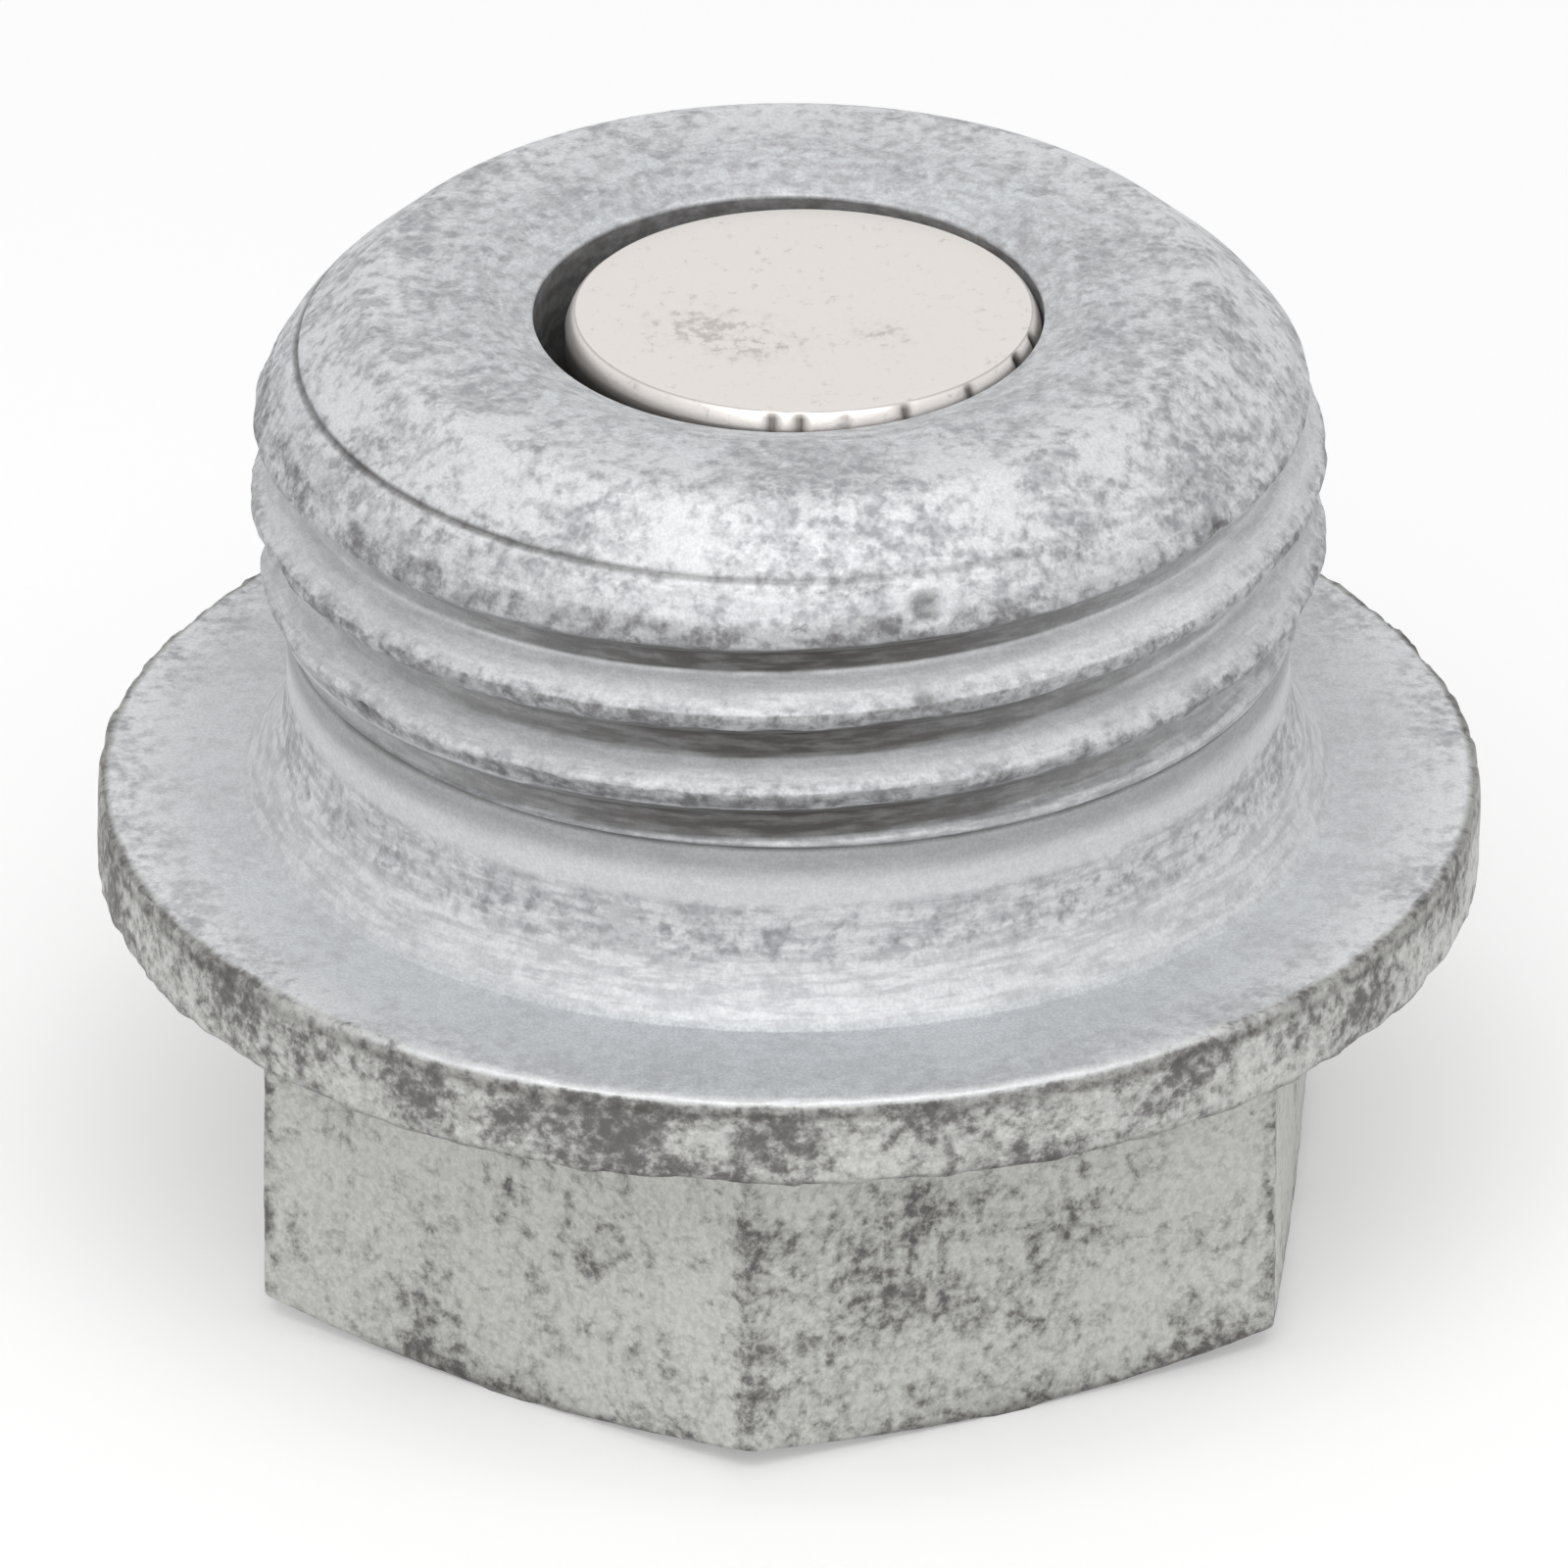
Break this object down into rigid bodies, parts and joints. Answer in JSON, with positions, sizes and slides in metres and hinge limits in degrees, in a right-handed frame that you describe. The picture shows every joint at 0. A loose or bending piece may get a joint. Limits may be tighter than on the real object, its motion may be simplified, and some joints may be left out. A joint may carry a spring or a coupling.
{
  "type": "magnetic oil drain plug",
  "caption": "Screw-in drain plug with a hexagon head, round sealing flange, threaded shank and a disc magnet set in its nose.",
  "frame": {"origin": "middle of the hexagon head's underside, on the surface the plug stands on", "axes": "+Z along the thread's axis, from the head towards the magnet; one corner of the hexagon points along -Y, and the magnet lies over to the +X side of its bore"},
  "size_m": [0.0232, 0.0232, 0.0171],
  "materials": {
    "plated_steel": "mottled grey zinc plating, matt, darker and rougher on the head and the rim of the flange",
    "magnet_plating": "smooth pale nickel plating, satin"
  },
  "bodies": {
    "root": {"plug_body": "plated_steel", "magnet": "magnet_plating"}
  },
  "joints": []
}
